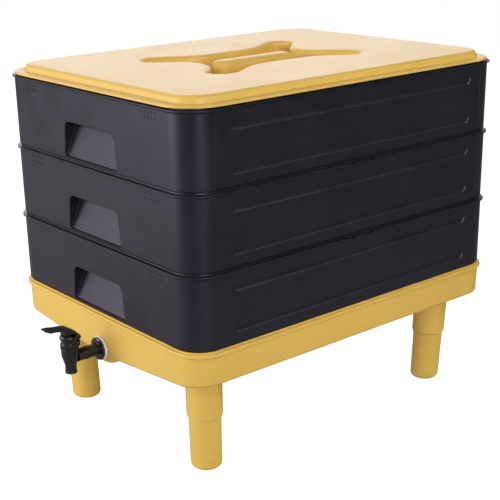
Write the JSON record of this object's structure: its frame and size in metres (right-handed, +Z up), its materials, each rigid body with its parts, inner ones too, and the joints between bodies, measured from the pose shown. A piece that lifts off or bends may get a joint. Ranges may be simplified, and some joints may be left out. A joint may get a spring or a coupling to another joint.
{
  "type": "wormery",
  "caption": "Stacking garden worm composter: sump base on round legs with a lever tap, nesting perforated trays and a lift-off lid with a recessed carrying bar.",
  "frame": {"origin": "on the ground under the middle of the whole outline, which reaches from the tap lever's tip to the lip at the far end", "axes": "+X along the long side, away from the tap; +Y across the width; +Z up"},
  "size_m": [0.6116, 0.4076, 0.4781],
  "materials": {
    "ochre_plastic": "satin moulded, ochre yellow",
    "charcoal_plastic": "satin moulded, bluish charcoal",
    "black_plastic": "glossy black",
    "white_plastic": "white, slightly translucent",
    "white_rubber": "off-white sealing rubber"
  },
  "bodies": {
    "base": {"base_tray": "ochre_plastic", "leg_socket_tap_right": "ochre_plastic", "leg_socket_far_right": "ochre_plastic", "leg_socket_far_left": "ochre_plastic", "leg_socket_tap_left": "ochre_plastic", "leg_tap_right": "ochre_plastic", "leg_far_right": "ochre_plastic", "leg_far_left": "ochre_plastic", "leg_tap_left": "ochre_plastic", "tap_body": "black_plastic", "tap_outer_washer": "white_rubber", "tap_inner_washer": "white_rubber", "tap_lock_nut": "black_plastic", "tap_bonnet": "black_plastic"},
    "stem": {"tap_stem": "white_plastic", "tap_seat_cup": "white_rubber", "tap_pivot_pin": "black_plastic"},
    "lever": {"tap_lever": "black_plastic"},
    "lower_tray": {"tray_bottom": "charcoal_plastic"},
    "mid_tray": {"tray_middle": "charcoal_plastic"},
    "upper_tray": {"tray_top": "charcoal_plastic"},
    "cover": {"lid": "ochre_plastic"}
  },
  "joints": [
    {"name": "tray_bottom_lift", "type": "slide", "parent": "base", "child": "lower_tray", "axis": [0, 0, 1], "range_m": [0, 0.12]},
    {"name": "tray_middle_lift", "type": "slide", "parent": "lower_tray", "child": "mid_tray", "axis": [0, 0, 1], "range_m": [0, 0.12]},
    {"name": "tray_top_lift", "type": "slide", "parent": "mid_tray", "child": "upper_tray", "axis": [0, 0, 1], "range_m": [0, 0.12]},
    {"name": "lid_lift", "type": "slide", "parent": "upper_tray", "child": "cover", "axis": [0, 0, 1], "range_m": [0, 0.1]},
    {"name": "tap_stem_slide", "type": "slide", "parent": "base", "child": "stem", "axis": [0, 0, 1], "range_m": [0, 0.0037]},
    {"name": "tap_lever_hinge", "type": "hinge", "parent": "stem", "child": "lever", "pos_m": [-0.26925, 0, 0.1641], "axis": [0, -1, 0], "range_deg": [0, 30], "stiffness_Nm_per_rad": 0.3, "springref_deg": -8.59}
  ],
  "couplings": [
    {"joint": "tap_stem_slide", "follows": "tap_lever_hinge", "m_per_rad": 0.006875}
  ]
}
